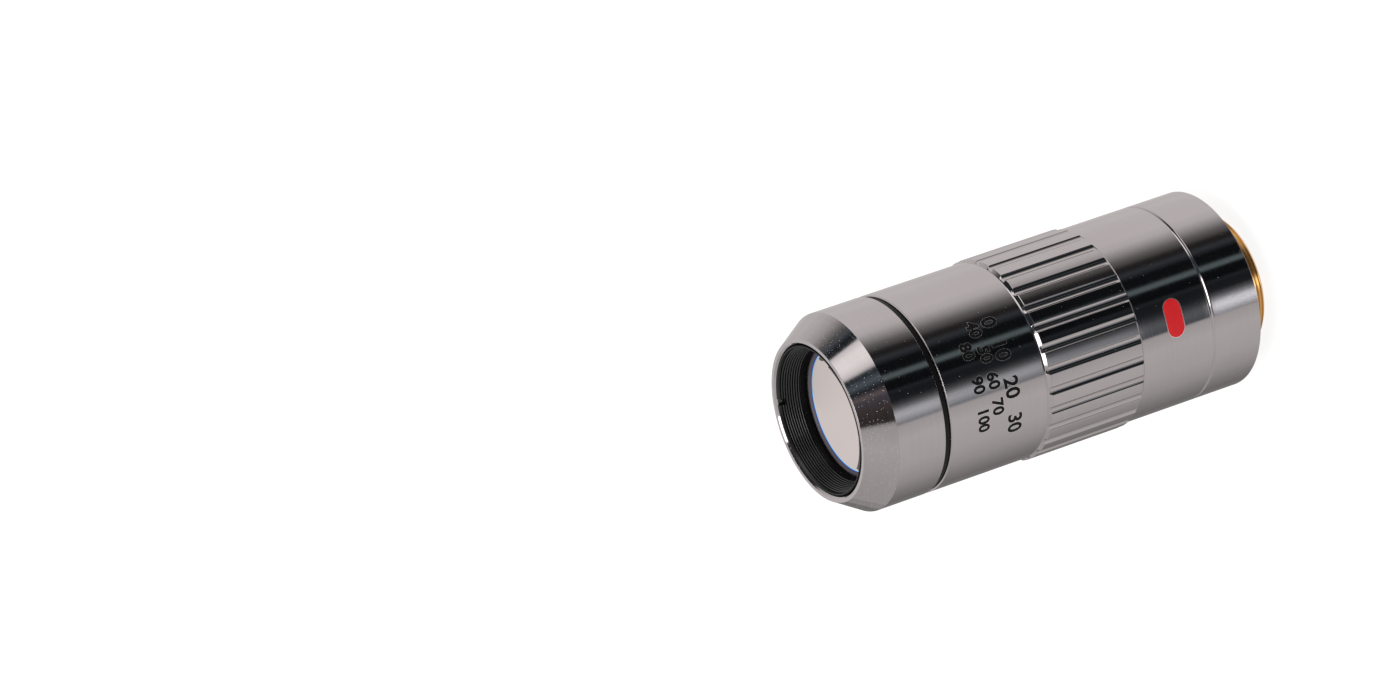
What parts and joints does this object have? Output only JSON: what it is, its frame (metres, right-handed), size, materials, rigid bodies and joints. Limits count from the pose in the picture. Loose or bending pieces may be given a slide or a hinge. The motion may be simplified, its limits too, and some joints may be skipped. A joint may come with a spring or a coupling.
{
  "type": "microscope objective",
  "caption": "Long low-power microscope objective with a bevelled nose, recessed concave front lens, fluted grip ring, chromed barrel sleeves and a brass mounting thread.",
  "frame": {"origin": "centre of the mounting thread's end face, on the optical axis", "axes": "+Z along the optical axis from the thread towards the nose; the object stands on its thread end with the nose up; a flute of the grip lies on +X"},
  "size_m": [0.0378, 0.0378, 0.0882],
  "materials": {
    "chrome": "polished chrome over fine turning marks",
    "black_anodised": "black anodised, satin",
    "brass": "turned brass",
    "coated_glass": "polished, anti-reflection coated",
    "screw_steel": "satin"
  },
  "bodies": {
    "root": {"nose_ring": "chrome", "front_retainer": "black_anodised", "front_lens": "coated_glass", "front_cell": "black_anodised", "second_lens": "coated_glass", "front_lock_ring": "black_anodised", "front_spacer": "black_anodised", "colour_ring": "black_anodised", "label_sleeve": "chrome", "grip_sleeve": "chrome", "rear_sleeve": "chrome", "rear_cap": "chrome", "mounting_thread": "brass", "main_barrel": "brass", "mid_cell": "black_anodised", "mid_crown_lens": "coated_glass", "mid_flint_lens": "coated_glass", "mid_lock_ring": "black_anodised", "aperture_stop": "black_anodised", "mid_spacer": "black_anodised", "rear_cell": "black_anodised", "rear_singlet_lens": "coated_glass", "rear_spacer_ring": "black_anodised", "rear_crown_lens": "coated_glass", "rear_flint_lens": "coated_glass", "rear_lock_ring": "black_anodised", "parfocal_shim": "brass", "set_screw_1": "screw_steel", "set_screw_2": "screw_steel", "set_screw_3": "screw_steel"}
  },
  "joints": []
}
